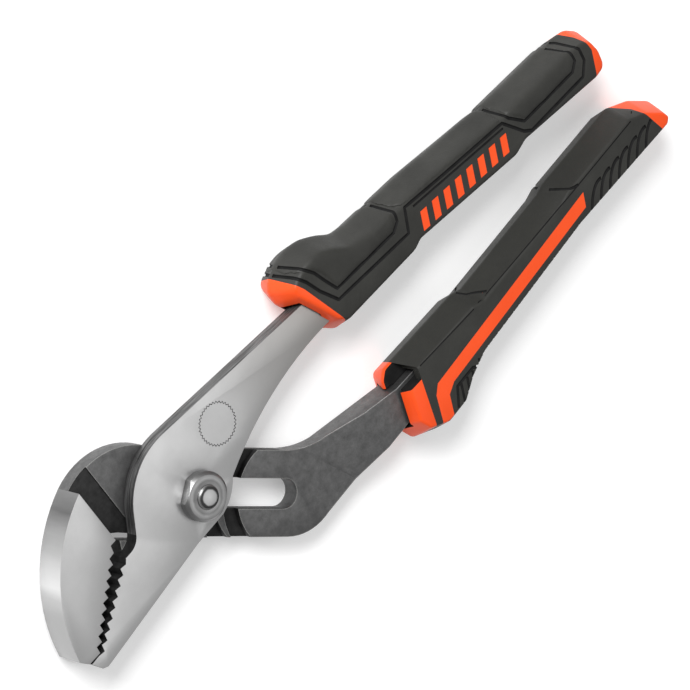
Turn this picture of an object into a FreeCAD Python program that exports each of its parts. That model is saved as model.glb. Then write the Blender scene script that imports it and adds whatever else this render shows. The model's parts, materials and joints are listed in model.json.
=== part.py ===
import FreeCAD, Part
import math
import os
from FreeCAD import Vector

# Ten-inch tongue-and-groove pliers, lying flat and closed. +X runs from the jaw to the handles,
# +Z is up, and the origin is on the floor at the middle of the tool's outline.
# Outlines are drawn round the pivot bolt, and every sub-part is then moved so that the tool is centred.

doc = FreeCAD.newDocument("pliers")

# ---------------------------------------------------------------- driving dimensions, mm and degrees
DRIVING = {
    "overall_length": 256.8,
    "jaw_reach": 57.0,
    "pivot_y": 9.0,
    # bolt and nut
    "bolt_head_dia": 14.0,
    "bolt_head_height": 3.2,
    "bolt_dia": 8.0,
    "thread_dia": 7.0,
    "thread_stand": 0.9,
    "bolt_bevel": 0.6,
    "nut_dia": 14.2,
    "nut_height": 3.2,
    "nut_flats": 12.6,
    "nut_bevel": 0.9,
    "running_gap": 0.05,
    # lever stack
    "web_thickness": 5.75,
    "plate_thickness": 4.65,
    "face_gap": 0.1,
    "shank_thickness": 9.0,
    "ramp_foot": 43.0,
    "ramp_head": 56.0,
    # slot and channels
    "slot_angle": 45.65,
    "slot_width": 8.6,
    "slot_travel": 32.0,
    "slot_end_gap": 0.1,
    "web_half_width": 12.3,
    "channel_count": 5,
    "channel_radius": 18.8,
    "channel_width": 5.1,
    "channel_depth": 2.0,
    "tongue_side_gap": 0.25,
    "tongue_relief": 1.2,
    "boss_dia": 21.0,
    "root_radius": 20.0,
    "root_gap": 0.6,
    "step_x": -27.5,
    "step_relief_width": 7.9,
    "step_relief_depth": 0.6,
    # jaws
    "tooth_pitch": 3.0,
    "tooth_height": 1.4,
    "tooth_count": 9,
    "tongue_jaw_angle": 33.2,
    "slotted_jaw_angle": 39.9,
    # grips
    "grip_thickness": 17.0,
    "grip_lean": 3.6,
    "core_floor": 2.5,
    "core_roof": 0.75,
    "core_wall": 1.5,
    "core_start": 3.3,
    "tang_gap": 0.1,
    "bar_count": 8,
}

sizes = doc.addObject("Spreadsheet::Sheet", "sizes")
for row, (alias, value) in enumerate(DRIVING.items(), start=1):
    sizes.set(f"A{row}", alias)
    sizes.set(f"B{row}", str(value))
    sizes.setAlias(f"B{row}", alias)
doc.recompute()


def size(alias):
    """A driving dimension, read back from the sheet."""
    return float(getattr(sizes, alias))


WEB_FLOOR = "sizes.bolt_head_height + sizes.running_gap"
WEB_TOP = WEB_FLOOR + " + sizes.web_thickness"
PLATE_FLOOR = WEB_TOP + " + sizes.face_gap"
PLATE_TOP = PLATE_FLOOR + " + sizes.plate_thickness"
SHANK_TOP = WEB_FLOOR + " + sizes.shank_thickness"
NUT_FLOOR = PLATE_TOP + " + sizes.running_gap"
NUT_TOP = NUT_FLOOR + " + sizes.nut_height"
CORE_TOP = PLATE_TOP + " + sizes.core_roof"

web_floor = size("bolt_head_height") + size("running_gap")
web_top = web_floor + size("web_thickness")
shank_top = web_floor + size("shank_thickness")
plate_top = web_top + size("face_gap") + size("plate_thickness")
nut_top = plate_top + size("running_gap") + size("nut_height")

# The slot runs down to the right: a place is given as a distance along it and one across it,
# measured from the pivot bolt, with the jaw side of the tongue lever on the positive side across.
slot_turn = math.radians(size("slot_angle"))
ALONG = Vector(math.cos(slot_turn), -math.sin(slot_turn), 0)
ACROSS = Vector(-math.sin(slot_turn), -math.cos(slot_turn), 0)


def slot_point(along, across):
    return ALONG * along + ACROSS * across


def polar(radius, degrees):
    return Vector(radius * math.cos(math.radians(degrees)), radius * math.sin(math.radians(degrees)), 0)


# The grips' outlines below are drawn to end at GRIP_REAR, and keep their shape up to GRIP_START.
GRIP_START = 100.0
GRIP_REAR = 199.8


# ---------------------------------------------------------------- drawing and feature helpers
def outline(steps):
    """Edges of a closed outline. A step is one point for a line to it, or a pair for an arc."""
    edges = []
    here = steps[-1][-1] if isinstance(steps[-1], tuple) else steps[-1]
    for step in steps:
        if isinstance(step, tuple):
            edges.append(Part.Arc(here, step[0], step[1]))
            here = step[1]
        else:
            edges.append(Part.LineSegment(here, step))
            here = step
    return edges


def plane(body, role):
    return next(o for o in body.Origin.OriginFeatures if o.Role == role)


def sketch(body, name, edges, height, role="XY_Plane"):
    """A sketch on one of the body's own planes, lifted to a height given as an expression."""
    drawing = body.newObject("Sketcher::SketchObject", name)
    drawing.AttachmentSupport = [(plane(body, role), "")]
    drawing.MapMode = "FlatFace"
    drawing.setExpression("AttachmentOffset.Base.z", height)
    drawing.addGeometry(edges, False)
    return drawing


def pad(body, name, edges, height, length):
    feature = body.newObject("PartDesign::Pad", name)
    feature.Profile = sketch(body, name + "_sketch", edges, height)
    feature.setExpression("Length", length)
    return feature


def pocket(body, name, edges, height, depth):
    """A cut that goes down from its sketch."""
    feature = body.newObject("PartDesign::Pocket", name)
    feature.Profile = sketch(body, name + "_sketch", edges, height)
    feature.setExpression("Length", depth)
    return feature


def lengthened(points):
    """Points of a handle or grip, with the part behind GRIP_START made to reach the overall length."""
    stretch = (size("overall_length") - size("jaw_reach") - GRIP_START) / (GRIP_REAR - GRIP_START)
    return [Vector(GRIP_START + (p.x - GRIP_START) * stretch, p.y, p.z) if p.x > GRIP_START else p
            for p in points]


def circle(radius, centre=Vector(0, 0, 0)):
    return [Part.Circle(centre, Vector(0, 0, 1), radius)]


def dress(body, kind, name, base, keep, amount):
    """A fillet or chamfer on the edges of the base that the test keeps."""
    doc.recompute()
    names = [f"Edge{i}" for i, edge in enumerate(base.Shape.Edges, start=1) if keep(edge)]
    feature = body.newObject("PartDesign::" + kind, name)
    feature.Base = (base, names)
    feature.setExpression("Radius" if kind == "Fillet" else "Size", amount)
    return feature


def new_body(label):
    body = doc.addObject("PartDesign::Body", label)
    body.Label = label
    body.setExpression("Placement.Base.x", "sizes.jaw_reach - sizes.overall_length / 2")
    body.setExpression("Placement.Base.y", "sizes.pivot_y")
    return body


def level(edge, height):
    box = edge.BoundBox
    return abs(box.ZMin - height) < 0.01 and abs(box.ZMax - height) < 0.01


# ---------------------------------------------------------------- shared outlines
def tooth_row(first_valley, degrees, side):
    """Valleys and crests of a jaw from the throat to the tip; side is +1 where crests point up-left."""
    towards_tip = polar(1.0, 180 + degrees)
    outwards = Vector(towards_tip.y, -towards_tip.x, 0) * side
    points = []
    for tooth in range(int(size("tooth_count"))):
        valley = first_valley + towards_tip * (tooth * size("tooth_pitch"))
        crest = valley + towards_tip * (size("tooth_pitch") / 2) + outwards * size("tooth_height")
        points += [valley, crest]
    return points


tongue_teeth = tooth_row(Vector(-29.5, 3.4, 0), size("tongue_jaw_angle"), 1)
slotted_teeth = tooth_row(Vector(-32.2, 8.4, 0), size("slotted_jaw_angle"), -1)

# Tangs: front lower, front upper, rear upper and rear lower corner of each handle inside its grip.
TONGUE_TANG = lengthened([Vector(61, 6.7, 0), Vector(58, 16.8, 0), Vector(168, 5.2, 0), Vector(168, 0.4, 0)])
SLOTTED_TANG = lengthened([Vector(66, -37.0, 0), Vector(69, -26.2, 0),
                           Vector(174, -28.6, 0), Vector(174, -32, 0)])

# Where each handle comes from, ahead of its tang: lower point, then upper point.
TONGUE_NECK = [Vector(50, 6.2, 0), Vector(1.0, 22.1, 0)]
SLOTTED_NECK = [Vector(30, -38.2, 0), Vector(41.5, -20.2, 0)]

TONGUE_NOSE = [Vector(-54.6, -9.5, 0), Vector(-53.0, -13.0, 0), Vector(-51.4, -13.8, 0)]
SLOTTED_NOSE = [Vector(-55.2, -8.9, 0), Vector(-57.0, -6.4, 0)]
HEAD_TOP = Vector(size("step_x"), 28.8, 0)
HEAD_ROOT = Vector(size("step_x"), 10.8, 0)
half_web = size("web_half_width")


# ---------------------------------------------------------------- slotted lever
def slotted_lever():
    """The back lever: a full-thickness jaw, a thinner slotted web and a thicker shank."""
    body = new_body("slotted_lever")
    head_arc = (Vector(-48.1, 13.6, 0), HEAD_TOP)
    low_front, high_front, high_rear, low_rear = SLOTTED_TANG
    low_neck, high_neck = SLOTTED_NECK
    silhouette = outline(
        slotted_teeth
        + SLOTTED_NOSE
        + [
            head_arc,
            (Vector(-13.2, 28.9, 0), slot_point(-13.0, -half_web)),
            slot_point(30.0, -half_web),
            (Vector(34.9, -17.1, 0), high_neck),
            high_front,
            high_rear,
            low_rear,
            low_front,
            low_neck,
            (Vector(21.3, -37.2, 0), slot_point(34.5, half_web)),
            slot_point(4, half_web),
            slot_point(-23, half_web - 1.5),
            Vector(-26.0, 10.8, 0),
            Vector(-29.6, 10.8, 0),
            Vector(-30.2, 8.6, 0),
        ]
    )
    pad(body, "web", silhouette, WEB_FLOOR, "sizes.web_thickness")

    head = outline(slotted_teeth + SLOTTED_NOSE + [head_arc, HEAD_ROOT, Vector(-29.6, 10.8, 0),
                                                   Vector(-30.2, 8.6, 0)])
    pad(body, "jaw", head, WEB_TOP, "sizes.face_gap + sizes.plate_thickness")

    ramp_foot = size("ramp_foot")
    ramp_head = size("ramp_head")
    shank_low = low_front + (low_neck - low_front) * ((low_front.x - ramp_foot) / (low_front.x - low_neck.x))
    shank_high = high_front + (high_neck - high_front) * ((high_front.x - ramp_foot)
                                                          / (high_front.x - high_neck.x))
    shank = outline([shank_low, shank_high, high_front, high_rear, low_rear, low_front])
    pad(body, "shank", shank, WEB_TOP, SHANK_TOP + " - (" + WEB_TOP + ")")

    ramp = body.newObject("PartDesign::Pocket", "shank_ramp")
    ramp.Profile = sketch(body, "shank_ramp_sketch", outline([
        Vector(ramp_foot, web_top, 0), Vector(ramp_head, shank_top, 0),
        Vector(ramp_head, shank_top + 1, 0), Vector(ramp_foot, shank_top + 1, 0)]), "0", "XZ_Plane")
    ramp.Type = "ThroughAll"
    ramp.Midplane = True

    slot_end = size("slot_travel") + size("slot_end_gap")
    half_slot = size("slot_width") / 2
    slot = outline([
        slot_point(slot_end, -half_slot),
        (slot_point(slot_end + half_slot, 0), slot_point(slot_end, half_slot)),
        slot_point(0, half_slot),
        (slot_point(-half_slot, 0), slot_point(0, -half_slot)),
    ])
    pocket(body, "slot", slot, WEB_TOP, "sizes.web_thickness")

    pitch = size("slot_travel") / (size("channel_count") - 1)
    reach = half_web + 1
    for place in range(int(size("channel_count"))):
        inner = size("channel_radius") - size("channel_width") / 2
        outer = size("channel_radius") + size("channel_width") / 2
        centre = place * pitch
        ends = [centre - math.sqrt(radius**2 - reach**2) for radius in (inner, outer)]
        channel = outline([
            slot_point(ends[0], -reach),
            (slot_point(centre - inner, 0), slot_point(ends[0], reach)),
            slot_point(ends[1], reach),
            (slot_point(centre - outer, 0), slot_point(ends[1], -reach)),
        ])
        pocket(body, f"channel_{place + 1}", channel, WEB_TOP, "sizes.channel_depth")

    step_x = size("step_x")
    far_x = step_x + size("step_relief_width")
    relief = outline([Vector(step_x, 0, 0), Vector(far_x, 0, 0), Vector(far_x, 40, 0), Vector(step_x, 40, 0)])
    pocket(body, "step_relief", relief, WEB_TOP, "sizes.step_relief_depth")

    return body


# ---------------------------------------------------------------- tongue lever
def tongue_lever():
    """The front lever: a plate over the web, with its jaw and its tongue reaching down beside it."""
    body = new_body("tongue_lever")
    low_front, high_front, high_rear, low_rear = TONGUE_TANG
    plate = outline(
        tongue_teeth
        + TONGUE_NOSE
        + [
            Vector(-9.0, -9.4, 0),
            Vector(2.0, -9.2, 0),
            (Vector(7.2, -7.0, 0), Vector(11.0, -3.4, 0)),
            (Vector(30.0, 3.4, 0), low_front),
            low_rear,
            high_rear,
            high_front,
            TONGUE_NECK[1],
            (Vector(-9.6, 20.1, 0), Vector(-18.3, 12.8, 0)),
            Vector(-22.0, 7.0, 0),
            (Vector(-23.7, 5.4, 0), Vector(-26.2, 4.65, 0)),
            Vector(-28.4, 4.65, 0),
        ]
    )
    pad(body, "plate", plate, PLATE_FLOOR, "sizes.plate_thickness")

    # the jaw block stays clear of the slotted web's edge, and of it again as the lever swings open
    clear = half_web + size("root_gap")
    root = size("root_radius")
    along_root = math.sqrt(root**2 - clear**2)
    low_edge = Vector(-17.3, -10.25, 0) * (root / Vector(-17.3, -10.25, 0).Length)
    mid_root = polar(root, 195)
    block = outline(
        tongue_teeth
        + TONGUE_NOSE
        + [
            low_edge,
            (mid_root, slot_point(-along_root, clear)),
            slot_point(-22.6, clear),
            Vector(-26.2, 4.65, 0),
            Vector(-28.4, 4.65, 0),
        ]
    )
    pad(body, "jaw", block, WEB_FLOOR, "sizes.web_thickness + sizes.face_gap")

    inner = size("boss_dia") / 2
    outer = size("channel_radius") - size("channel_width") / 2 + size("tongue_side_gap")
    relief = outline([
        polar(inner, 80), (polar(inner, 140), polar(inner, 200)),
        polar(outer, 175), (polar(outer, 130), polar(outer, 80)),
    ])
    pocket(body, "tongue_relief", relief, PLATE_FLOOR + " + sizes.tongue_relief", "sizes.tongue_relief")
    hole = circle(size("bolt_dia") / 2 + size("running_gap"))
    pocket(body, "pivot_hole", hole, PLATE_TOP, "sizes.plate_thickness")
    return body


# ---------------------------------------------------------------- pivot bolt and nut
def pivot_bolt():
    """Round head under the web, shank through slot and lever, peened thread end in the nut."""
    body = new_body("pivot_bolt")
    head = pad(body, "head", circle(size("bolt_head_dia") / 2), "0", "sizes.bolt_head_height")
    dress(body, "Chamfer", "head_bevel", head, lambda edge: level(edge, 0), "sizes.bolt_bevel")
    pad(body, "shank", circle(size("bolt_dia") / 2), "sizes.bolt_head_height",
        PLATE_TOP + " - sizes.bolt_head_height")
    thread = pad(body, "thread", circle(size("thread_dia") / 2), PLATE_TOP,
                 "sizes.running_gap + sizes.nut_height + sizes.thread_stand")
    end = nut_top + size("thread_stand")
    dress(body, "Chamfer", "thread_bevel", thread, lambda edge: level(edge, end), "sizes.bolt_bevel")
    return body


def pivot_nut():
    """Round nut with two wrench flats and a bevelled rim."""
    body = new_body("pivot_nut")
    blank = pad(body, "blank", circle(size("nut_dia") / 2), NUT_FLOOR, "sizes.nut_height")
    dress(body, "Chamfer", "rim_bevel", blank, lambda edge: level(edge, nut_top), "sizes.nut_bevel")
    half = size("nut_flats") / 2
    far = size("nut_dia")
    for side, name in ((1, "flat_a"), (-1, "flat_b")):
        across = polar(1.0, 125)
        along = Vector(-across.y, across.x, 0)
        corners = [across * (side * half) + along * far, across * (side * half) - along * far,
                   across * (side * far) - along * far, across * (side * far) + along * far]
        pocket(body, name, outline(corners), NUT_TOP, "sizes.nut_height")
    hole = circle(size("thread_dia") / 2 + size("running_gap"))
    pocket(body, "hole", hole, NUT_TOP, "sizes.nut_height")
    return body


# ---------------------------------------------------------------- grips
# Outlines are those of the widest line, half way up; the faces lean in from it to both flats.
UPPER_GRIP = lengthened([
    Vector(65.4, 0.4, 0),
    Vector(61.4, 4.4, 0),
    Vector(57.0, 14.5, 0),
    Vector(54.4, 20.0, 0),
    Vector(54.6, 24.4, 0),
    Vector(57.2, 27.2, 0),
    Vector(61.8, 28.8, 0),
    Vector(67.4, 29.3, 0),
    Vector(72.4, 28.3, 0),
    Vector(77.2, 25.5, 0),
    Vector(81.6, 22.0, 0),
    Vector(88.0, 20.5, 0),
    Vector(112.0, 18.5, 0),
    Vector(136.0, 15.0, 0),
    Vector(146.0, 13.6, 0),
    Vector(168.0, 12.1, 0),
    Vector(180.0, 10.8, 0),
    Vector(186.0, 9.2, 0),
    Vector(190.4, 5.8, 0),
    Vector(191.6, 0.8, 0),
    Vector(190.2, -4.4, 0),
    Vector(186.4, -7.4, 0),
    Vector(181.0, -8.0, 0),
    Vector(148.5, -3.9, 0),
    Vector(143.0, -5.1, 0),
    Vector(101.0, 0.3, 0),
    Vector(97.6, -0.8, 0),
])
UPPER_COLLAR = [Vector(53.0, 36.0, 0), Vector(60.6, 21.4, 0), Vector(70.0, -8.2, 0)]
UPPER_CAP = lengthened([
    Vector(176.0, 20.0, 0),
    Vector(183.4, 8.0, 0),
    Vector(183.2, 3.0, 0),
    Vector(176.5, -12.0, 0),
])
UPPER_TAIL = lengthened([Vector(185.0, 5.0, 0), Vector(185.0, -0.6, 0)])

LOWER_GRIP = lengthened([
    Vector(70.5, -20.4, 0),
    Vector(103.0, -21.1, 0),
    Vector(107.0, -22.5, 0),
    Vector(146.0, -21.0, 0),
    Vector(150.0, -20.0, 0),
    Vector(183.0, -19.2, 0),
    Vector(191.4, -23.2, 0),
    Vector(197.6, -28.6, 0),
    Vector(199.8, -34.0, 0),
    Vector(195.4, -38.0, 0),
    Vector(149.0, -37.6, 0),
    Vector(98.0, -41.2, 0),
    Vector(91.0, -43.6, 0),
    Vector(84.0, -47.6, 0),
    Vector(74.0, -48.0, 0),
    Vector(65.6, -43.6, 0),
    Vector(63.0, -37.0, 0),
    Vector(67.8, -22.6, 0),
])
LOWER_COLLAR = [Vector(69.5, -15.0, 0), Vector(75.8, -23.8, 0), Vector(70.2, -42.0, 0), Vector(67, -52, 0)]
LOWER_CAP = lengthened([Vector(174.0, -10.0, 0), Vector(188.0, -23.6, 0), Vector(193.0, -40.0, 0)])
LOWER_TAIL = lengthened([Vector(190.8, -28.4, 0), Vector(190.8, -32.4, 0)])
LOWER_STRIPE = lengthened([
    Vector(72.0, -44.2, 0),
    Vector(75.6, -35.0, 0),
    Vector(78.2, -32.6, 0),
    Vector(155.0, -27.4, 0),
    Vector(153.0, -31.6, 0),
    Vector(83.0, -36.4, 0),
    Vector(79.4, -38.2, 0),
    Vector(76.8, -44.2, 0),
])
REACH = 80.0
NECK_RUN = 11.0


def core_outline(tang, tail):
    """The tang's outline with the sleeve's wall round it, begun in the collar and run on into the cap."""
    wall = size("core_wall") + size("tang_gap")
    low_front, high_front, high_rear, low_rear = tang
    return outline([
        low_front + Vector(size("core_start"), -wall, 0),
        high_front + Vector(size("core_start"), wall, 0),
        high_rear + Vector(wall, wall, 0),
        tail[0],
        tail[1],
        low_rear + Vector(wall, -wall, 0),
    ])


def bar_row(first, step, count):
    """Slanted bars along the upper grip, each an outline of four points."""
    rise = Vector(2.4, 5.2, 0)
    width = Vector(2.6, -0.3, 0)
    starts = [first + step * bar for bar in range(count)]
    return [lengthened([start, start + rise, start + rise + width, start + width]) for start in starts]


def tang_outline(tang, neck):
    """The hole for the tang, run out past the front of the collar along the handle's own edges."""
    gap = size("tang_gap")
    low_front, high_front, high_rear, low_rear = tang
    return outline([
        low_front + (neck[0] - low_front).normalize() * NECK_RUN + Vector(0, -gap, 0),
        high_front + (neck[1] - high_front).normalize() * NECK_RUN + Vector(0, gap, 0),
        high_front + Vector(0, gap, 0),
        high_rear + Vector(gap, gap, 0),
        low_rear + Vector(gap, -gap, 0),
        low_front + Vector(0, -gap, 0),
    ])


def beyond(line, way):
    """The area on one side of a parting line: way is -1 for in front of it and +1 for behind it."""
    far = Vector(way * REACH, 0, 0)
    return outline(line + [line[-1] + far, line[0] + far])


def grip_block(body, points):
    """A block that is widest half way up and leans in to a flat above and a flat below."""
    block = pad(body, "block", outline(points), "sizes.grip_thickness / 2", "sizes.grip_thickness / 2")
    block.SideType = "Symmetric"
    block.setExpression("Length", "sizes.grip_thickness")
    block.setExpression("TaperAngle", "-atan(sizes.grip_lean / (sizes.grip_thickness / 2))")
    return block


def grip_cover(label, points, collar, cap, tang, tail, windows):
    """The soft outer moulding, from the collar to the end cap, hollow for the sleeve's core."""
    body = new_body(label)
    grip_block(body, points)
    pocket(body, "collar_cut", beyond(collar, -1), "sizes.grip_thickness", "sizes.grip_thickness")
    pocket(body, "cap_cut", beyond(cap, 1), "sizes.grip_thickness", "sizes.grip_thickness")
    pocket(body, "core_cut", core_outline(tang, tail), CORE_TOP, CORE_TOP + " - sizes.core_floor")
    for number, window in enumerate(windows, start=1):
        pocket(body, f"window_{number}", outline(window), "sizes.grip_thickness",
               "sizes.grip_thickness - (" + CORE_TOP + ")")
    return body


def grip_sleeve(label, points, collar, cap, tang, neck, tail, windows, floor, depth):
    """The hard inner moulding: collar, core round the tang, end cap, and what shows in the windows."""
    body = new_body(label)
    grip_block(body, points)
    stretch = outline(collar + list(reversed(cap)))
    pocket(body, "stretch_cut", stretch, "sizes.grip_thickness", "sizes.grip_thickness")
    pad(body, "core", core_outline(tang, tail), "sizes.core_floor", CORE_TOP + " - sizes.core_floor")
    for number, window in enumerate(windows, start=1):
        pad(body, f"inlay_{number}", outline(window), CORE_TOP, "sizes.grip_thickness - (" + CORE_TOP + ")")
    pocket(body, "tang_cut", tang_outline(tang, neck),
           floor + " + (" + depth + ") + sizes.tang_gap", depth + " + 2 * sizes.tang_gap")
    return body


slotted_lever()
tongue_lever()
pivot_bolt()
pivot_nut()
upper_bars = bar_row(Vector(102.6, 4.9, 0), Vector(5.1, -0.5, 0), int(size("bar_count")))
grip_sleeve("upper_grip_sleeve", UPPER_GRIP, UPPER_COLLAR, UPPER_CAP, TONGUE_TANG, TONGUE_NECK, UPPER_TAIL,
            upper_bars, PLATE_FLOOR, "sizes.plate_thickness")
grip_cover("upper_grip_cover", UPPER_GRIP, UPPER_COLLAR, UPPER_CAP, TONGUE_TANG, UPPER_TAIL, upper_bars)
grip_sleeve("lower_grip_sleeve", LOWER_GRIP, LOWER_COLLAR, LOWER_CAP, SLOTTED_TANG, SLOTTED_NECK, LOWER_TAIL,
            [LOWER_STRIPE], WEB_FLOOR, "sizes.shank_thickness")
grip_cover("lower_grip_cover", LOWER_GRIP, LOWER_COLLAR, LOWER_CAP, SLOTTED_TANG, LOWER_TAIL, [LOWER_STRIPE])
doc.recompute()

# ---------------------------------------------------------------- check and write
for item in doc.Objects:
    if "Invalid" in item.State or "Error" in item.State:
        raise RuntimeError(f"{item.Label} failed: {item.State}")
os.makedirs("parts", exist_ok=True)
for item in doc.Objects:
    if item.TypeId == "PartDesign::Body":
        if item.Shape.isNull() or not item.Shape.isValid():
            raise RuntimeError(f"{item.Label} has no valid shape")
        item.Shape.exportStep(f"parts/{item.Label}.step")
        box = item.Shape.BoundBox
        print(f"{item.Label}: {len(item.Shape.Solids)} solid, {item.Shape.Volume:.0f} mm3,",
              f"x {box.XMin:.1f}..{box.XMax:.1f} y {box.YMin:.1f}..{box.YMax:.1f}",
              f"z {box.ZMin:.1f}..{box.ZMax:.1f}")
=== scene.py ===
import json
import math

import bpy
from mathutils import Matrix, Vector

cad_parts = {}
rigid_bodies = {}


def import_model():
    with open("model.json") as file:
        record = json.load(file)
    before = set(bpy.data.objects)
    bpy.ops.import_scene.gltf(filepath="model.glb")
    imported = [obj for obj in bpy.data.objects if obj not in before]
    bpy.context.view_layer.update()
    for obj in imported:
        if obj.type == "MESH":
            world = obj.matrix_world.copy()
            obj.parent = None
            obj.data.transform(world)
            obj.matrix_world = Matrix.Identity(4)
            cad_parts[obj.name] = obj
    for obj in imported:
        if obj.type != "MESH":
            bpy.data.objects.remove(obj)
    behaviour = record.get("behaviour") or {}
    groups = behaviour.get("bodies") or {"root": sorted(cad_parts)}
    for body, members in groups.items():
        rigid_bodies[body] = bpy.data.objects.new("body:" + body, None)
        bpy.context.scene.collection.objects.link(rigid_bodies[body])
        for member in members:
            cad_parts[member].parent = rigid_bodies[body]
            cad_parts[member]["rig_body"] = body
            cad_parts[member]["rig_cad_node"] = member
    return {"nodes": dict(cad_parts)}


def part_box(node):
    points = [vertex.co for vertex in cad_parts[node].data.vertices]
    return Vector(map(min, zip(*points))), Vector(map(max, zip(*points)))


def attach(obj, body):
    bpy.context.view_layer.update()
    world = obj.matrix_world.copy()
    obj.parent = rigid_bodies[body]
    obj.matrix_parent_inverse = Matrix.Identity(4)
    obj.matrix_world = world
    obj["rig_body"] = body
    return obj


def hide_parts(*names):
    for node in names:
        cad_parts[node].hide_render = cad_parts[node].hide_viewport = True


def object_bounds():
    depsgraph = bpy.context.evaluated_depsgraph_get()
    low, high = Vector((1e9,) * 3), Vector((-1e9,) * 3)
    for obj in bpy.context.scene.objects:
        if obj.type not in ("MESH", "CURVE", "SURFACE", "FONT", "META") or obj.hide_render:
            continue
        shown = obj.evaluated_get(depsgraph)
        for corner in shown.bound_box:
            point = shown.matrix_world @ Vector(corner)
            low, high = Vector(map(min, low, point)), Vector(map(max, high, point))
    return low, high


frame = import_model()
cad_low, cad_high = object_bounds()

# ------------------------------------------------------------------ slotted lever
# The back lever is one drop forging in carbon steel: a full-thickness jaw, a thinner web with the
# long slot, and a thicker shank that runs into the lower grip. Its jaw's face is ground, its rim polished
# and painted with bands of reflection and shade.
MM = 0.001
WELD = 0.000002
nut_low, nut_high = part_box("pivot_nut")
PIVOT = Vector(((nut_low.x + nut_high.x) / 2, (nut_low.y + nut_high.y) / 2, 0))
plate_low, plate_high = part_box("tongue_lever")
PLATE_TOP = plate_high.z
WEB_TOP = plate_low.z + 5.75 * MM
STEP_X = PIVOT.x - 27.5 * MM


def at(x, y, z=0.0):
    """A point given in millimetres from the pivot's axis, z above the floor."""
    return Vector((PIVOT.x + x * MM, PIVOT.y + y * MM, z * MM))


def alone(part):
    """Makes the part the only one that is selected, and the active one."""
    bpy.ops.object.select_all(action="DESELECT")
    part.select_set(True)
    bpy.context.view_layer.objects.active = part


def welded_copy(node, name):
    """A CAD part's shape as a new piece, with its triangles joined up into whole faces."""
    alone(frame["nodes"][node])
    bpy.ops.object.duplicate()
    part = bpy.context.object
    part.name = name
    part.parent = None
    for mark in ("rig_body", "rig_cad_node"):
        del part[mark]
    part.data.materials.clear()
    bpy.ops.mesh.customdata_custom_splitnormals_clear()
    bpy.ops.object.mode_set(mode="EDIT")
    bpy.ops.mesh.select_all(action="SELECT")
    bpy.ops.mesh.remove_doubles(threshold=WELD)
    bpy.ops.mesh.dissolve_limited(angle_limit=math.radians(0.6))
    bpy.ops.object.mode_set(mode="OBJECT")
    return part


def round_edges(part, width, segments, where, sharpness=30):
    """Rounds the sharp edges whose two ends pass the test."""
    alone(part)
    bpy.context.tool_settings.mesh_select_mode = (False, True, False)
    bpy.ops.object.mode_set(mode="EDIT")
    bpy.ops.mesh.select_all(action="DESELECT")
    bpy.ops.mesh.edges_select_sharp(sharpness=math.radians(sharpness))
    bpy.ops.object.mode_set(mode="OBJECT")
    mesh = part.data
    points = [vertex.co for vertex in mesh.vertices]
    kept = [edge.select and where(*[points[i] for i in edge.vertices]) for edge in mesh.edges]
    for group in (mesh.vertices, mesh.polygons):
        for item in group:
            item.select = False
    for edge, keep in zip(mesh.edges, kept):
        edge.select = keep
    bpy.ops.object.mode_set(mode="EDIT")
    bpy.ops.mesh.bevel(offset=width, segments=segments, affect="EDGES", clamp_overlap=True)
    bpy.ops.object.mode_set(mode="OBJECT")


def smooth(part):
    """Shades the piece smooth, apart from edges sharper than 38 degrees."""
    alone(part)
    bpy.ops.object.shade_smooth_by_angle(angle=math.radians(38))


def finish_faces(part, materials, choose):
    """Gives the piece its materials, and each face the one that choose(centre, normal) returns."""
    part.data.materials.clear()
    for material in materials:
        part.data.materials.append(material)
    for face in part.data.polygons:
        face.material_index = materials.index(choose(face.center, face.normal))


def new_material(name):
    """A new material, its node tree and its shader."""
    material = bpy.data.materials.new(name)
    material.use_nodes = True
    return material, material.node_tree, material.node_tree.nodes["Principled BSDF"]


def grain(tree, scale, detail, stretch=(1, 1, 1), turn=0.0, roughness=0.6):
    """Noise in the piece's own metres, drawn out along one way if asked. Returns the noise node."""
    place = tree.nodes.new("ShaderNodeTexCoord")
    mapping = tree.nodes.new("ShaderNodeMapping")
    mapping.inputs["Scale"].default_value = stretch
    mapping.inputs["Rotation"].default_value = (0, 0, turn)
    noise = tree.nodes.new("ShaderNodeTexNoise")
    noise.inputs["Scale"].default_value = scale
    noise.inputs["Detail"].default_value = detail
    noise.inputs["Roughness"].default_value = roughness
    tree.links.new(place.outputs["Object"], mapping.inputs["Vector"])
    tree.links.new(mapping.outputs["Vector"], noise.inputs["Vector"])
    return noise


def ramp(tree, source, stops, output="Fac"):
    """A colour ramp fed by another node; stops are (place, grey or colour)."""
    node = tree.nodes.new("ShaderNodeValToRGB")
    for number, (place, tone) in enumerate(stops):
        element = node.color_ramp.elements[number] if number < 2 else node.color_ramp.elements.new(place)
        element.position = place
        colour = (tone, tone, tone) if isinstance(tone, float) else tone
        element.color = (*colour, 1)
    tree.links.new(source.outputs[output], node.inputs["Fac"])
    return node


def varied(tree, shader, socket, source, stops):
    """Feeds one of the shader's sockets from a ramp over some noise."""
    tree.links.new(ramp(tree, source, stops).outputs["Color"], shader.inputs[socket])


def own_axes(tree):
    """The piece's own X, Y and Z, in metres."""
    place = tree.nodes.new("ShaderNodeTexCoord")
    axes = tree.nodes.new("ShaderNodeSeparateXYZ")
    tree.links.new(place.outputs["Object"], axes.inputs["Vector"])
    return axes


def share(tree, value, start, end):
    """How far a value has got from the start to the end, as 0 to 1."""
    node = tree.nodes.new("ShaderNodeMapRange")
    node.inputs["From Min"].default_value = start
    node.inputs["From Max"].default_value = end
    tree.links.new(value, node.inputs["Value"])
    return node


def toward(tree, amount, colour, tone):
    """Blends a ramp's colour into one plain tone by a share from 0 to 1."""
    mix = tree.nodes.new("ShaderNodeMix")
    mix.data_type = "RGBA"
    mix.inputs["B"].default_value = (*tone, 1)
    tree.links.new(amount.outputs["Result"], mix.inputs["Factor"])
    tree.links.new(colour.outputs["Color"], mix.inputs["A"])
    return mix


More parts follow.
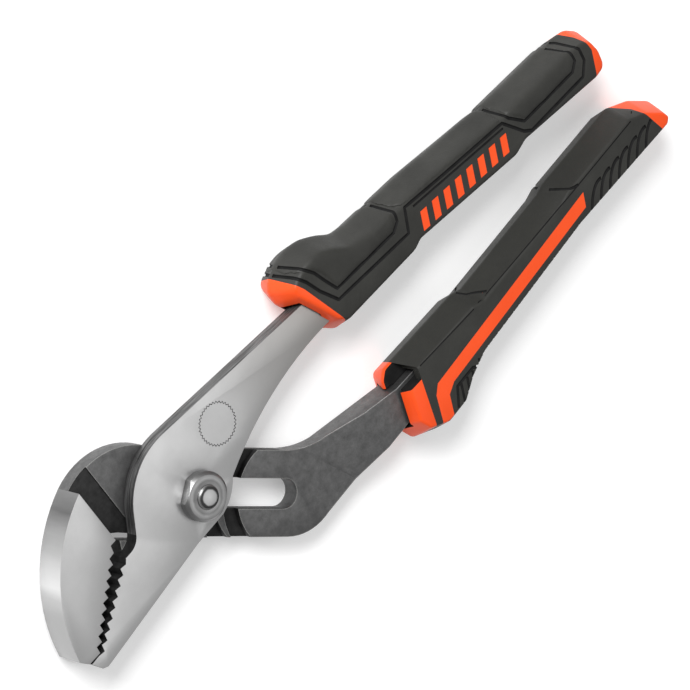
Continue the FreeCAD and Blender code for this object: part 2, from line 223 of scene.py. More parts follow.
def bump(tree, shader, source, depth, under=None):
    """Gives the surface the noise's relief, on top of an earlier relief if there is one."""
    node = tree.nodes.new("ShaderNodeBump")
    node.inputs["Strength"].default_value = 1.0
    node.inputs["Distance"].default_value = depth
    tree.links.new(source.outputs["Fac"], node.inputs["Height"])
    if under:
        tree.links.new(under.outputs["Normal"], node.inputs["Normal"])
    tree.links.new(node.outputs["Normal"], shader.inputs["Normal"])
    return node


def worn_edges(tree, shader, colour, width, tone):
    """Lightens a colour where an edge has been worn bright."""
    bevel = tree.nodes.new("ShaderNodeBevel")
    bevel.inputs["Radius"].default_value = width
    geometry = tree.nodes.new("ShaderNodeNewGeometry")
    dot = tree.nodes.new("ShaderNodeVectorMath")
    dot.operation = "DOT_PRODUCT"
    tree.links.new(bevel.outputs["Normal"], dot.inputs[0])
    tree.links.new(geometry.outputs["Normal"], dot.inputs[1])
    edge = share(tree, dot.outputs["Value"], 0.995, 0.90)
    worn = toward(tree, edge, colour, tone)
    tree.links.new(worn.outputs["Result"], shader.inputs["Base Color"])


forged, tree, shader = new_material("forged_skin")
shader.inputs["Metallic"].default_value = 0.85
mottle = grain(tree, 320, 8, roughness=0.75)
scale_colour = ramp(tree, mottle, [(0.30, 0.092), (0.75, 0.168)])
worn_edges(tree, shader, scale_colour, 0.5 * MM, (0.34, 0.34, 0.33))
varied(tree, shader, "Roughness", mottle, [(0.3, 0.55), (0.7, 0.40)])
pits = grain(tree, 1500, 4)
soft = bump(tree, shader, mottle, 0.12 * MM)
bump(tree, shader, pits, 0.04 * MM, under=soft)

ground, tree, shader = new_material("ground_face")
shader.inputs["Metallic"].default_value = 0.9
cloud = grain(tree, 60, 5, roughness=0.65)
fresh = ramp(tree, cloud, [(0.25, 0.50), (0.8, 0.57)])
# Painted shadow: the ground face turns darker toward the grip, where the grip's thumb stop shades it.
near_grip = share(tree, own_axes(tree).outputs["X"], PIVOT.x + 20 * MM, PIVOT.x + 64 * MM)
grip_shadow = toward(tree, near_grip, fresh, (0.37, 0.355, 0.34))
tree.links.new(grip_shadow.outputs["Result"], shader.inputs["Base Color"])
varied(tree, shader, "Roughness", cloud, [(0.3, 0.46), (0.7, 0.36)])
scratch = grain(tree, 260, 4, stretch=(0.12, 6, 1), turn=math.radians(35))
bump(tree, shader, scratch, 0.012 * MM)

polished, tree, shader = new_material("polished_rim")
shader.inputs["Metallic"].default_value = 1.0
streak = grain(tree, 130, 4, stretch=(1, 1, 0.15))
drift = tree.nodes.new("ShaderNodeMath")
drift.operation = "MULTIPLY_ADD"
drift.inputs[1].default_value = 4 * MM
tree.links.new(streak.outputs["Fac"], drift.inputs[0])
tree.links.new(own_axes(tree).outputs["Y"], drift.inputs[2])
across_jaw = share(tree, drift.outputs["Value"], PIVOT.y - 8 * MM, PIVOT.y + 32 * MM)
# Painted reflections and shade: light and dark bands across the polished rim, as its mirror finish would
# show them.
RIM_REFLECTION_BANDS = [(0.0, 0.36), (0.40, 0.37), (0.50, 0.46), (0.58, 0.66), (0.67, 0.56), (0.75, 0.42),
             (0.84, 0.30), (0.91, 0.13), (0.96, 0.20), (1.0, 0.26)]
painted_rim_bands = ramp(tree, across_jaw, RIM_REFLECTION_BANDS, "Result")
tree.links.new(painted_rim_bands.outputs["Color"], shader.inputs["Base Color"])
shader.inputs["Roughness"].default_value = 0.34
bump(tree, shader, grain(tree, 900, 3, stretch=(1, 1, 0.1)), 0.012 * MM)

# Near-black for the teeth walls, the sunk channels, the step and the etched ring.
near_black, tree, shader = new_material("near_black_recess")
shader.inputs["Metallic"].default_value = 0.2
shader.inputs["Specular IOR Level"].default_value = 0.3
soot = grain(tree, 420, 5)
varied(tree, shader, "Base Color", soot, [(0.3, 0.004), (0.75, 0.02)])
shader.inputs["Roughness"].default_value = 0.5
bump(tree, shader, soot, 0.08 * MM)

# Painted highlight: a lighter steel for the shank's crest faces that are turned toward the key light.
crest_highlight, tree, shader = new_material("painted_crest_highlight")
shader.inputs["Metallic"].default_value = 0.9
patch = grain(tree, 180, 6, roughness=0.8)
varied(tree, shader, "Base Color", patch, [(0.34, 0.24), (0.60, 0.78)])
shader.inputs["Roughness"].default_value = 0.42
bump(tree, shader, patch, 0.03 * MM)

slotted = welded_copy("slotted_lever", "slotted_lever_forging")
SHANK_FOOT = PIVOT.x + 43 * MM


def on_shank_rim(a, b):
    """The long upper and lower edges of the shank, from the ramp to the grip."""
    run = min(a.x, b.x) > SHANK_FOOT - 9 * MM
    high = min(a.z, b.z) > WEB_TOP - 0.2 * MM
    low = max(a.z, b.z) < plate_low.z + 0.2 * MM
    across = abs(a.x - b.x) < 0.3 * MM and abs(a.y - b.y) > 3 * MM
    return run and (high or low) and not across


round_edges(slotted, 1.6 * MM, 5, on_shank_rim)
round_edges(slotted, 0.22 * MM, 2, lambda a, b: max(a.x, b.x) < SHANK_FOOT - 10 * MM, sharpness=40)
smooth(slotted)

# Where each jaw's row of teeth starts, and the way it runs; the walls near that line count as its own.
TEETH = {
    "tongue": (at(-29.5, 3.4), math.radians(180 + 33.2)),
    "slotted": (at(-32.2, 8.4), math.radians(180 + 39.9)),
}
TEETH_HALF_WIDTH = 2.6 * MM
THROAT_LENGTH = 9 * MM
TEETH_LENGTH = 27.5 * MM
THROAT = at(-33, 5)
RIM_RADIUS = 15 * MM
CHANNEL_DEPTH = 2.2 * MM
CHANNELS_END = PIVOT.x + 24 * MM
HIGHLIGHT_START = PIVOT.x + 30 * MM


def among_teeth(jaw, centre, normal):
    """True on the walls between a jaw's teeth and round its throat, which are coloured near-black."""
    start, turn = TEETH[jaw]
    offset = (centre - start).xy
    away = abs(offset.x * math.sin(turn) - offset.y * math.cos(turn))
    along = offset.x * math.cos(turn) + offset.y * math.sin(turn)
    upright = abs(normal.z) < 0.5
    return upright and away < TEETH_HALF_WIDTH and -THROAT_LENGTH < along < TEETH_LENGTH


def slotted_finish(centre, normal):
    """Ground jaw face, polished rim, black teeth, channels and step, and a painted highlight on the shank's
    crest.
    """
    if among_teeth("slotted", centre, normal):
        return near_black
    jaw = centre.x < STEP_X + 0.1 * MM
    faces_up = normal.z > 0.9
    if jaw and faces_up and centre.z > PLATE_TOP - 0.5 * MM:
        return ground
    from_throat = (centre - THROAT).xy
    outward = from_throat.normalized().dot(normal.xy) > 0.35
    if jaw and outward and from_throat.length > RIM_RADIUS:
        return polished
    sunk = WEB_TOP - CHANNEL_DEPTH < centre.z < WEB_TOP - 0.05 * MM
    if sunk and STEP_X < centre.x < CHANNELS_END:
        return near_black
    if abs(centre.x - STEP_X) < 0.3 * MM and centre.z > WEB_TOP - 1 * MM:
        return near_black
    # Painted highlight on the crest faces turned up and toward the key light.
    crest = normal.y > 0.35 and 0.35 < normal.z < 0.85
    if centre.x > HIGHLIGHT_START and crest:
        return crest_highlight
    return forged


finish_faces(slotted, [forged, ground, polished, near_black, crest_highlight], slotted_finish)
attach(slotted, "slotted_lever")
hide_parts("slotted_lever")

# ------------------------------------------------------------------ tongue lever
# The front lever is a flat forging whose outer face is ground bright. Its walls are dark and torn
# where the flash was sheared off, and a serrated size ring is etched near the pivot.
sheared, tree, shader = new_material("sheared_wall")
shader.inputs["Metallic"].default_value = 0.8
tears = grain(tree, 260, 6, stretch=(0.3, 0.3, 9), roughness=0.7)
varied(tree, shader, "Base Color", tears, [(0.36, 0.02), (0.66, 0.24)])
shader.inputs["Roughness"].default_value = 0.5
bump(tree, shader, tears, 0.12 * MM)

tongue = welded_copy("tongue_lever", "tongue_lever_forging")
round_edges(tongue, 0.3 * MM, 2, lambda a, b: True, sharpness=40)


def shaped(part, tool, operation="DIFFERENCE", crossing=False):
    """Cuts the piece with a tool, or joins the tool to it; the tool's finish stays on the faces it made."""
    alone(part)
    bpy.ops.object.modifier_add(type="BOOLEAN")
    step = part.modifiers[-1]
    step.object = tool
    step.operation = operation
    step.solver = "EXACT"
    step.use_self = crossing
    step.material_mode = "TRANSFER"
    bpy.ops.object.modifier_apply(modifier=step.name)
    bpy.data.objects.remove(tool)


def painted(part, material):
    """Gives the whole part one material."""
    part.data.materials.clear()
    part.data.materials.append(material)
    return part


def tube(line, radius, material):
    """Turns a line into a closed round tube, a tool for a groove."""
    alone(line)
    bpy.ops.object.convert(target="CURVE")
    line = bpy.context.object
    line.data.bevel_depth = radius
    line.data.bevel_resolution = 2
    line.data.use_fill_caps = True
    bpy.ops.object.convert(target="MESH")
    line = bpy.context.object
    bpy.ops.object.mode_set(mode="EDIT")
    bpy.ops.mesh.select_all(action="SELECT")
    bpy.ops.mesh.remove_doubles(threshold=WELD)
    bpy.ops.mesh.normals_make_consistent(inside=False)
    bpy.ops.object.mode_set(mode="OBJECT")
    return painted(line, material)


RING_TEETH = 36
RING_RADIUS = 6.3 * MM
RING_NOTCH = 0.91
ETCH_RADIUS = 0.14 * MM
bpy.ops.object.select_all(action="DESELECT")
bpy.ops.mesh.primitive_circle_add(vertices=2 * RING_TEETH, radius=RING_RADIUS)
ring = bpy.context.object
ring_centre = at(16.7, 11.4)
for number, vertex in enumerate(ring.data.vertices):
    reach = 1.0 if number % 2 else RING_NOTCH
    vertex.co = (ring_centre.x + vertex.co.x * reach, ring_centre.y + vertex.co.y * reach, PLATE_TOP)
painted(tongue, ground)
shaped(tongue, tube(ring, ETCH_RADIUS, near_black))
smooth(tongue)


def tongue_finish(centre, normal):
    """Ground outer face, black teeth and etching, and walls as the shears left them."""
    if among_teeth("tongue", centre, normal):
        return near_black
    in_ring = (centre - ring_centre).xy.length < RING_RADIUS + 0.2 * MM
    if in_ring and centre.z < PLATE_TOP - 0.01 * MM:
        return near_black
    if abs(normal.z) > 0.8 and centre.z > PLATE_TOP - 0.6 * MM:
        return ground
    if abs(normal.z) < 0.4 and centre.z > WEB_TOP + 0.2 * MM:
        return sheared
    return forged


finish_faces(tongue, [forged, ground, near_black, sheared], tongue_finish)
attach(tongue, "tongue_lever")
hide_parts("tongue_lever")

# ------------------------------------------------------------------ pivot bolt and nut
# The bolt is plated steel with a low round head below. Its end is peened over in a round nut with
# two wrench flats, so that the joint can't come undone.
plated, tree, shader = new_material("plated_steel")
shader.inputs["Metallic"].default_value = 1.0
cloud = grain(tree, 240, 5)
place = tree.nodes.new("ShaderNodeTexCoord")
from_axis = tree.nodes.new("ShaderNodeVectorMath")
from_axis.operation = "SUBTRACT"
from_axis.inputs[1].default_value = PIVOT
flatten = tree.nodes.new("ShaderNodeVectorMath")
flatten.operation = "MULTIPLY"
flatten.inputs[1].default_value = (1, 1, 0)
radius = tree.nodes.new("ShaderNodeVectorMath")
radius.operation = "LENGTH"
tree.links.new(place.outputs["Object"], from_axis.inputs[0])
tree.links.new(from_axis.outputs["Vector"], flatten.inputs[0])
tree.links.new(flatten.outputs["Vector"], radius.inputs[0])
ragged = tree.nodes.new("ShaderNodeMath")
ragged.operation = "MULTIPLY_ADD"
ragged.inputs[1].default_value = 0.9 * MM
tree.links.new(cloud.outputs["Fac"], ragged.inputs[0])
tree.links.new(radius.outputs["Value"], ragged.inputs[2])
outward = share(tree, ragged.outputs["Value"], 0.45 * MM, 8.45 * MM)
# Painted shade and highlight: a dark ring in the crevice round the peened bolt end, and a lighter band near
# the nut's rim.
NUT_SHADE_AND_HIGHLIGHT_RINGS = [(0.0, 0.62), (0.26, 0.50), (0.31, 0.05), (0.375, 0.07), (0.43, 0.36), (0.58, 0.24),
                 (0.66, 0.40), (0.84, 0.20)]
painted_rings = ramp(tree, outward, NUT_SHADE_AND_HIGHLIGHT_RINGS, "Result")
tree.links.new(painted_rings.outputs["Color"], shader.inputs["Base Color"])
varied(tree, shader, "Roughness", cloud, [(0.3, 0.46), (0.7, 0.34)])
bump(tree, shader, grain(tree, 900, 4), 0.02 * MM)

bolt = welded_copy("pivot_bolt", "pivot_bolt_peened")
round_edges(bolt, 0.3 * MM, 3, lambda a, b: True)
smooth(bolt)
finish_faces(bolt, [plated], lambda centre, normal: plated)
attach(bolt, "pivot_bolt")
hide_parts("pivot_bolt")

nut = welded_copy("pivot_nut", "pivot_nut_turned")
round_edges(nut, 0.35 * MM, 3, lambda a, b: True, sharpness=25)
smooth(nut)
finish_faces(nut, [plated], lambda centre, normal: plated)
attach(nut, "pivot_nut")
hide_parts("pivot_nut")

# ------------------------------------------------------------------ upper grip
# A two-shot moulding: a hard orange sleeve grips the tang and shows as collar, bars and end cap.
# A black rubber cover is moulded over it, with a thumb stop, shaped pads and fine grooves.
rubber, tree, shader = new_material("black_rubber")
cloud = grain(tree, 70, 4)
varied(tree, shader, "Base Color", cloud, [(0.3, (0.0125, 0.0125, 0.0105)), (0.7, (0.0215, 0.0215, 0.0185))])
varied(tree, shader, "Roughness", cloud, [(0.3, 0.62), (0.7, 0.50)])
shader.inputs["Specular IOR Level"].default_value = 0.42
skin = bump(tree, shader, grain(tree, 700, 4, roughness=0.7), 0.07 * MM)
bump(tree, shader, grain(tree, 2600, 3), 0.025 * MM, under=skin)

# Painted shade: a darker rubber in the grooves, on the window walls round the inlays, and inside the
# sleeves' tang holes, mouths and notch.
groove_shade, tree, shader = new_material("rubber_painted_shade")
cloud = grain(tree, 300, 3)
varied(tree, shader, "Base Color", cloud, [(0.3, 0.006), (0.7, 0.012)])
shader.inputs["Roughness"].default_value = 0.75
shader.inputs["Specular IOR Level"].default_value = 0.15
bump(tree, shader, cloud, 0.02 * MM)

orange, tree, shader = new_material("orange_plastic")
cloud = grain(tree, 55, 4)
varied(tree, shader, "Base Color", cloud, [(0.3, (0.74, 0.062, 0.006)), (0.7, (0.80, 0.074, 0.009))])
varied(tree, shader, "Roughness", cloud, [(0.3, 0.46), (0.7, 0.36)])
shader.inputs["Specular IOR Level"].default_value = 0.3
bump(tree, shader, grain(tree, 1800, 3), 0.015 * MM)

# Heights above the floor, in millimetres. The core is the sleeve's part round the tang. Inlays are rooted
# half a millimetre in it and show through windows in the cover.
GRIP_TOP = 17.0
GRIP_MID = 8.5
THROUGH = (-2, 22)
THROUGH_PADS = (-4, 24)
CORE = (2.5, 14.5)
WINDOW = (14.5, 22)
PAD_HEIGHTS = (0.3, 24)
# How far the sides lean in, how proud a pad stands, and how far above the grip a groove's line starts.
LEAN = 3.6
PAD_LIFT = 0.45
HOVER = 8
PAD_VOXEL = 0.7 * MM
PAD_PASSES = 14


def prism(corners, floor, roof):
    """An upright block on the given corners, in millimetres from the pivot."""
    bpy.ops.object.select_all(action="DESELECT")
    bpy.ops.mesh.primitive_circle_add(vertices=len(corners), fill_type="NGON")
    block = bpy.context.object
    for vertex, corner in zip(block.data.vertices, corners):
        vertex.co = at(*corner, floor)
    bpy.ops.object.mode_set(mode="EDIT")
    bpy.ops.mesh.select_all(action="SELECT")
    bpy.ops.mesh.extrude_region_move(TRANSFORM_OT_translate={"value": (0, 0, (roof - floor) * MM)})
    bpy.ops.mesh.select_all(action="SELECT")
    bpy.ops.mesh.normals_make_consistent(inside=False)
    bpy.ops.object.mode_set(mode="OBJECT")
    return block


def block_cut(part, corners, heights, material, operation="DIFFERENCE"):
    """Cuts an upright block out of the piece or joins one to it, with its material on the new faces."""
    shaped(part, painted(prism(corners, *heights), material), operation)


def grip_block(corners, rounding):
    """A grip's whole outside: widest half way up, leaning in to a flat above and a flat below."""
    bpy.ops.object.select_all(action="DESELECT")
    bpy.ops.mesh.primitive_circle_add(vertices=len(corners), fill_type="NGON")
    block = bpy.context.object
    for vertex, corner in zip(block.data.vertices, reversed(corners)):
        vertex.co = at(*corner, GRIP_MID)
    bpy.context.tool_settings.mesh_select_mode = (False, False, True)
    bpy.ops.object.mode_set(mode="EDIT")
    bpy.ops.mesh.select_all(action="SELECT")
    bpy.ops.mesh.inset(thickness=LEAN * MM, depth=(GRIP_TOP - GRIP_MID) * MM)
    bpy.ops.mesh.select_all(action="SELECT")
    bpy.ops.mesh.duplicate()
    bpy.ops.transform.resize(value=(1, 1, -1), center_override=(0, 0, GRIP_MID * MM))
    bpy.ops.mesh.flip_normals()
    bpy.ops.mesh.select_all(action="SELECT")
    bpy.ops.mesh.remove_doubles(threshold=0.01 * MM)
    bpy.ops.mesh.normals_make_consistent(inside=False)
    bpy.ops.object.mode_set(mode="OBJECT")
    round_edges(block, rounding * MM, 4, lambda a, b: True, sharpness=12)
    return block


def twin(part, name):
    """A second piece with its own copy of the mesh."""
    alone(part)
    bpy.ops.object.duplicate()
    bpy.context.object.name = name
    return bpy.context.object


def raised_pad(block, corners):
    """A soft pad that stands a little proud of the block, all round the handle within the corners."""
    pad = twin(block, "pad")
    bpy.ops.object.mode_set(mode="EDIT")
    bpy.ops.mesh.select_all(action="SELECT")
    bpy.ops.transform.shrink_fatten(value=PAD_LIFT * MM)
    bpy.ops.object.mode_set(mode="OBJECT")
    block_cut(pad, corners, PAD_HEIGHTS, rubber, "INTERSECT")
    alone(pad)
    bpy.ops.object.modifier_add(type="REMESH")
    mesher = pad.modifiers[-1]
    mesher.mode = "VOXEL"
    mesher.voxel_size = PAD_VOXEL
    bpy.ops.object.modifier_apply(modifier=mesher.name)
    bpy.ops.object.modifier_add(type="SMOOTH")
    pad.modifiers[-1].iterations = PAD_PASSES
    bpy.ops.object.modifier_apply(modifier=pad.modifiers[-1].name)
    return pad


def groove_tool(part, points, radius, curved=False):
    """A tube that follows the piece's surface under a line of points, with its twin underneath."""
    bpy.ops.object.select_all(action="DESELECT")
    bpy.ops.curve.primitive_nurbs_path_add()
    line = bpy.context.object
    line.data.splines.clear()
    spline = line.data.splines.new("NURBS" if curved else "POLY")
    spline.points.add(len(points) - 1)
    for knot, point in zip(spline.points, points):
        knot.co = (*at(*point, GRIP_TOP + HOVER), 1)
    if curved:
        spline.order_u = 3
        spline.use_endpoint_u = True
        spline.resolution_u = 6
    bpy.ops.object.convert(target="MESH")
    line = bpy.context.object
    bpy.ops.object.mode_set(mode="EDIT")
    bpy.ops.mesh.select_all(action="SELECT")
    bpy.ops.mesh.subdivide(number_cuts=1 if curved else 7)
    bpy.ops.object.mode_set(mode="OBJECT")
    bpy.ops.object.modifier_add(type="SHRINKWRAP")
    fall = line.modifiers[-1]
    fall.target = part
    fall.wrap_method = "PROJECT"
    fall.use_project_z = True
    fall.use_positive_direction = False
    fall.use_negative_direction = True
    bpy.ops.object.modifier_apply(modifier=fall.name)
    bpy.context.tool_settings.mesh_select_mode = (True, False, False)
    bpy.ops.object.mode_set(mode="EDIT")
    bpy.ops.mesh.select_all(action="DESELECT")
    bpy.ops.object.mode_set(mode="OBJECT")
    for vertex in line.data.vertices:
        vertex.select = vertex.co.z > (GRIP_TOP + HOVER / 2) * MM
    bpy.ops.object.mode_set(mode="EDIT")
    bpy.ops.mesh.delete(type="VERT")
    bpy.ops.object.mode_set(mode="OBJECT")
    # The groove's faces take the painted shade.
    line = tube(line, radius * MM, groove_shade)
    bpy.ops.object.mode_set(mode="EDIT")
    bpy.ops.mesh.select_all(action="SELECT")
    bpy.ops.mesh.duplicate()
    bpy.ops.transform.resize(value=(1, 1, -1), center_override=(0, 0, GRIP_MID * MM))
    bpy.ops.mesh.flip_normals()
    bpy.ops.object.mode_set(mode="OBJECT")
    return line


def grooved(part, lines):
    """Cuts all of a piece's grooves at once."""
    tools = [groove_tool(part, *line) for line in lines]
    bpy.ops.object.select_all(action="DESELECT")
    for tool in tools:
        tool.select_set(True)
    bpy.context.view_layer.objects.active = tools[0]
    bpy.ops.object.join()
    shaped(part, tools[0], crossing=True)


UPPER_OUTLINE = [
    (65.4, 0.4), (61.4, 4.4), (57.0, 14.5), (54.4, 20.0), (54.6, 24.4), (57.2, 27.2), (61.8, 28.8),
    (67.4, 29.3), (72.4, 28.3), (77.2, 25.5), (81.6, 22.0), (88.0, 20.5), (112.0, 18.5), (136.0, 15.0),
    (146.0, 13.6), (168.0, 12.1), (180.0, 11.2), (185.2, 10.0), (188.6, 6.8), (189.8, 1.2),
    (188.8, -4.4), (186.0, -7.5), (181.0, -8.0), (148.5, -3.9), (143.0, -5.1), (101.0, 0.3), (97.6, -0.8),
]
UPPER_COLLAR = [(53.0, 36.0), (60.6, 21.4), (70.0, -8.2)]
UPPER_CAP = [(176.4, 20.0), (183.6, 8.4), (184.2, 3.2), (177.6, -12.0)]
UPPER_CORE = [(64.3, 5.1), (61.3, 18.4), (169.6, 6.8), (185.0, 5.0), (185.0, -0.6), (169.6, -1.2)]
UPPER_TANG = [(50.0, 6.1), (48.0, 20.2), (58.0, 16.9), (168.1, 5.3), (168.1, 0.3), (61.0, 6.6)]
UPPER_TANG_HEIGHTS = (9.0, 13.85)
UPPER_MOUTH = [(50.0, 18.6), (60.6, 18.0), (62.0, 6.2), (50.0, 4.6)]
UPPER_MOUTH_HEIGHTS = (7.6, 14.5)
AHEAD = -80
BEHIND = 80


def beyond(line, reach):
    """The corners of all that lies to one side of a line across the handle."""
    return line + [(line[-1][0] + reach, line[-1][1]), (line[0][0] + reach, line[0][1])]


def row(points, step, count):
    """The same points again and again, each set one step further on."""
    return [[(x + step[0] * n, y + step[1] * n) for x, y in points] for n in range(count)]


UPPER_PADS = [
    [(58.0, 44.0), (60.2, 26.6), (64.4, 24.6), (67.6, 20.0), (69.0, 13.4), (93.6, 11.9), (96.6, 13.4),
     (97.6, 16.6), (96.6, 19.6), (94.0, 24.0), (93.6, 44.0)],
    [(96.0, 44.0), (96.8, 21.0), (99.0, 17.0), (103.0, 15.0), (119.0, 12.9), (143.8, 9.5), (145.0, 12.0),
     (144.8, 16.0), (144.6, 44.0)],
    [(145.8, 44.0), (146.0, 14.0), (147.0, 9.6), (151.2, 4.0), (174.2, 2.8), (177.4, 5.2), (177.6, 8.6),
     (175.6, 12.0), (174.6, 44.0)],
]
# Each groove is its points, its radius and, if it isn't straight between them, True.
UPPER_GROOVES = [
    ([(57.6, 28.6), (60.6, 25.4), (62.4, 22.2), (64.2, 17.2), (67.6, 10.8), (98.0, 8.2), (101.5, 14.9),
      (119.0, 12.5), (144.0, 9.4), (149.0, 2.0), (151.5, 0.2), (176.5, -0.8), (180.0, 2.8), (180.4, 6.6),
      (178.6, 10.4), (176.4, 12.2)], 0.56),
    ([(104.0, 13.0), (119.0, 11.1), (143.4, 8.0)], 0.34),
    ([(60.0, 29.6), (63.4, 26.4), (66.0, 22.4), (67.4, 18.2), (69.2, 13.6), (94.0, 12.0), (97.0, 13.6),
      (98.0, 16.4), (96.8, 19.4), (95.4, 21.0)], 0.54),
    ([(145.2, 14.8), (145.6, 12.2), (146.8, 9.0), (151.0, 4.2), (174.2, 3.0), (177.0, 5.0), (177.2, 8.2),
      (174.6, 11.8)], 0.54),
]
BARS = row([(102.6, 4.9), (105.0, 10.1), (107.6, 9.8), (105.2, 4.6)], step=(5.1, -0.5), count=8)
BAR_HEIGHTS = (14.0, GRIP_TOP + 0.1)

upper_block = painted(grip_block(UPPER_OUTLINE, 2.4), rubber)
upper_cover = twin(upper_block, "upper_grip_rubber")
for corners in UPPER_PADS:
    shaped(upper_cover, raised_pad(upper_block, corners), "UNION")
block_cut(upper_cover, beyond(UPPER_COLLAR, AHEAD), THROUGH_PADS, rubber)
block_cut(upper_cover, beyond(UPPER_CAP, BEHIND), THROUGH_PADS, rubber)
grooved(upper_cover, UPPER_GROOVES)
block_cut(upper_cover, UPPER_CORE, CORE, rubber)
# The window walls round the bars take the painted shade.
for bar in BARS:
    block_cut(upper_cover, bar, WINDOW, groove_shade)
smooth(upper_cover)

upper_sleeve = painted(twin(upper_block, "upper_grip_sleeve_shell"), orange)
block_cut(upper_sleeve, UPPER_COLLAR + UPPER_CAP[::-1], THROUGH, orange)
block_cut(upper_sleeve, UPPER_CORE, CORE, orange, "UNION")
for bar in BARS:
    block_cut(upper_sleeve, bar, BAR_HEIGHTS, orange, "UNION")
# Painted shade inside the tang hole and its mouth.
block_cut(upper_sleeve, UPPER_TANG, UPPER_TANG_HEIGHTS, groove_shade)
block_cut(upper_sleeve, UPPER_MOUTH, UPPER_MOUTH_HEIGHTS, groove_shade)
smooth(upper_sleeve)
bpy.data.objects.remove(upper_block)

for piece, node, slot_name in ((upper_cover, "upper_grip_cover", "black_rubber"),
                               (upper_sleeve, "upper_grip_sleeve", "orange_plastic")):
    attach(piece, "tongue_lever")
    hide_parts(node)

# ------------------------------------------------------------------ lower grip
# The same two-shot moulding on the slotted lever, with a long inlaid stripe, a ribbed finger stop
# and a row of slanted ribs near the end cap.
LOWER_OUTLINE = [
    (70.5, -20.4), (103.0, -21.1), (107.0, -22.5), (146.0, -21.0), (150.0, -20.0), (183.0, -19.2),
    (191.4, -23.2), (197.6, -28.6), (199.8, -34.0), (195.4, -38.0), (149.0, -37.6), (98.0, -41.2),
    (91.0, -43.6), (84.0, -47.6), (74.0, -48.0), (65.6, -43.6), (63.0, -37.0), (67.8, -22.6),
]
LOWER_COLLAR = [(69.5, -15.0), (75.8, -23.8), (70.2, -42.0), (67, -52)]
LOWER_CAP = [(174.0, -10.0), (188.0, -23.6), (193.0, -40.0)]
LOWER_CORE = [(69.3, -38.6), (72.3, -24.6), (175.6, -27.0), (190.8, -28.4), (190.8, -32.4), (175.6, -33.6)]
LOWER_TANG = [(55.0, -37.4), (59.6, -24.0), (69.0, -26.1), (174.1, -28.5), (174.1, -32.1), (66.0, -37.1)]
LOWER_TANG_HEIGHTS = (3.15, 12.35)
LOWER_MOUTH = [(58, -23.2), (70.0, -25.8), (67.6, -38.3), (58, -38.6)]
LOWER_MOUTH_HEIGHTS = (2.4, 13.4)
NOTCH = [(58, -27.0), (78, -27.6), (78, -16), (58, -16)]
NOTCH_HEIGHTS = (9.4, 22)
STRIPE_HEIGHTS = (14.0, 22)
STRIPE = [(72.0, -44.2), (75.6, -35.0), (78.2, -32.6), (155.0, -27.4), (153.0, -31.6), (83.0, -36.4),
          (79.4, -38.2), (76.8, -44.2)]
LOWER_GROOVES = [
    ([(72.0, -24.0), (110.0, -25.6), (150.0, -24.6), (187.0, -23.6)], 0.22),
    ([(104.0, -21.6), (105.5, -23.4), (109.5, -25.4)], 0.46),
    ([(149.0, -21.4), (152.0, -23.4), (155.0, -24.4)], 0.46),
    ([(79.4, -43.6), (83.0, -38.4), (90.6, -38.2), (93.5, -40.0)], 0.5),
    ([(82.0, -44.4), (84.6, -38.6)], 0.46),
    ([(84.8, -44.0), (87.4, -38.8)], 0.46),
    ([(87.8, -43.0), (90.0, -38.8)], 0.46),
]
RIBS = row([(163.0, -28.9), (160.6, -28.2), (154.6, -33.0), (152.4, -37.0)], step=(4.7, 0), count=7)
LOWER_GROOVES += [(rib, 0.55, True) for rib in RIBS]
NICKS = row([(94.0, -37.6), (93.0, -40.6)], step=(2.7, 0.19), count=21)
LOWER_GROOVES += [(nick, 0.42) for nick in NICKS]

lower_block = painted(grip_block(LOWER_OUTLINE, 1.3), rubber)
lower_cover = twin(lower_block, "lower_grip_rubber")
block_cut(lower_cover, beyond(LOWER_COLLAR, AHEAD), THROUGH, rubber)
block_cut(lower_cover, beyond(LOWER_CAP, BEHIND), THROUGH, rubber)
grooved(lower_cover, LOWER_GROOVES)
block_cut(lower_cover, LOWER_CORE, CORE, rubber)
# The stripe window's walls take the painted shade.
block_cut(lower_cover, STRIPE, WINDOW, groove_shade)
smooth(lower_cover)

lower_sleeve = painted(twin(lower_block, "lower_grip_sleeve_shell"), orange)
stripe = twin(lower_sleeve, "stripe")
block_cut(stripe, STRIPE, STRIPE_HEIGHTS, orange, "INTERSECT")
block_cut(lower_sleeve, LOWER_COLLAR + LOWER_CAP[::-1], THROUGH, orange)
block_cut(lower_sleeve, LOWER_CORE, CORE, orange, "UNION")
shaped(lower_sleeve, stripe, "UNION")
# Painted shade inside the tang hole, its mouth and the notch.
block_cut(lower_sleeve, LOWER_TANG, LOWER_TANG_HEIGHTS, groove_shade)
block_cut(lower_sleeve, LOWER_MOUTH, LOWER_MOUTH_HEIGHTS, groove_shade)
block_cut(lower_sleeve, NOTCH, NOTCH_HEIGHTS, groove_shade)


def on_mouth_rim(a, b):
    """The collar's edges above the notch's floor, where the lever goes in."""
    return max(a.x, b.x) < at(77, 0).x and min(a.z, b.z) > (NOTCH_HEIGHTS[0] + 0.05) * MM


round_edges(lower_sleeve, 0.7 * MM, 3, on_mouth_rim, sharpness=45)
smooth(lower_sleeve)
bpy.data.objects.remove(lower_block)

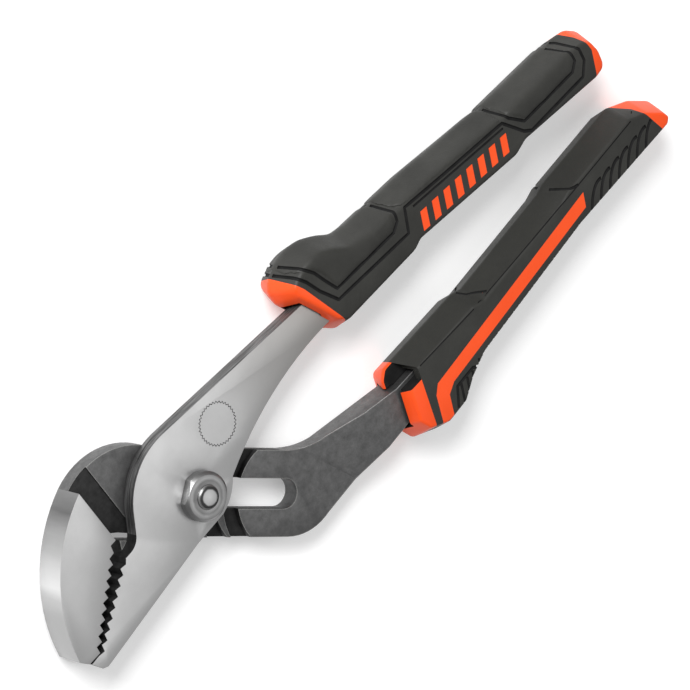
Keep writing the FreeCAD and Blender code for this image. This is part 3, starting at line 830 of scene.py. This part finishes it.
for piece, node, slot_name in ((lower_cover, "lower_grip_cover", "black_rubber"),
                               (lower_sleeve, "lower_grip_sleeve", "orange_plastic")):
    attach(piece, "slotted_lever")
    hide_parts(node)

# ------------------------------------------------------------------ floor, light and camera
# A plain white floor, a broad soft light from beyond the upper grip, and a dim fill.
bpy.ops.object.select_all(action="DESELECT")
bpy.ops.mesh.primitive_plane_add(size=8)
floor = bpy.context.object
floor.name = "floor"
floor.location.z = cad_low.z - 0.1 * MM
pale, tree, shader = new_material("pale_floor")
shader.inputs["Base Color"].default_value = (0.78, 0.78, 0.78, 1)
shader.inputs["Emission Color"].default_value = (1, 1, 1, 1)
shader.inputs["Emission Strength"].default_value = 0.28
shader.inputs["Roughness"].default_value = 0.9
shader.inputs["Specular IOR Level"].default_value = 0.0
floor.data.materials.append(pale)

world = bpy.data.worlds.new("studio")
bpy.context.scene.world = world
world.use_nodes = True
world.node_tree.nodes["Background"].inputs["Color"].default_value = (1, 1, 1, 1)
world.node_tree.nodes["Background"].inputs["Strength"].default_value = 0.42


def softbox(name, place, aim, size, power):
    """A soft rectangular light at a place, turned to face its aim."""
    bpy.ops.object.light_add(type="AREA", location=place)
    light = bpy.context.object
    light.name = name
    light.data.shape = "RECTANGLE"
    light.data.size, light.data.size_y = size
    light.data.energy = power
    light.rotation_mode = "QUATERNION"
    light.rotation_quaternion = (Vector(aim) - Vector(place)).to_track_quat("-Z", "Y")


softbox("key", (-0.25, 0.95, 0.75), (0, 0, 0), (0.6, 0.45), 19.5)
softbox("fill", (0.3, -0.2, 1.2), (0, 0, 0), (0.9, 0.9), 2.4)

bpy.ops.object.camera_add(location=PIVOT + Vector((-0.26942, 0.40060, 0.68213)))
camera = bpy.context.object
camera.rotation_euler = (math.radians(-6.587), math.radians(-37.510), math.radians(-39.790))
camera.data.sensor_width = 36
camera.data.lens = 156.5
camera.data.clip_start = 0.01
camera.data.clip_end = 20
bpy.context.scene.camera = camera
bpy.context.scene.view_settings.view_transform = "Standard"
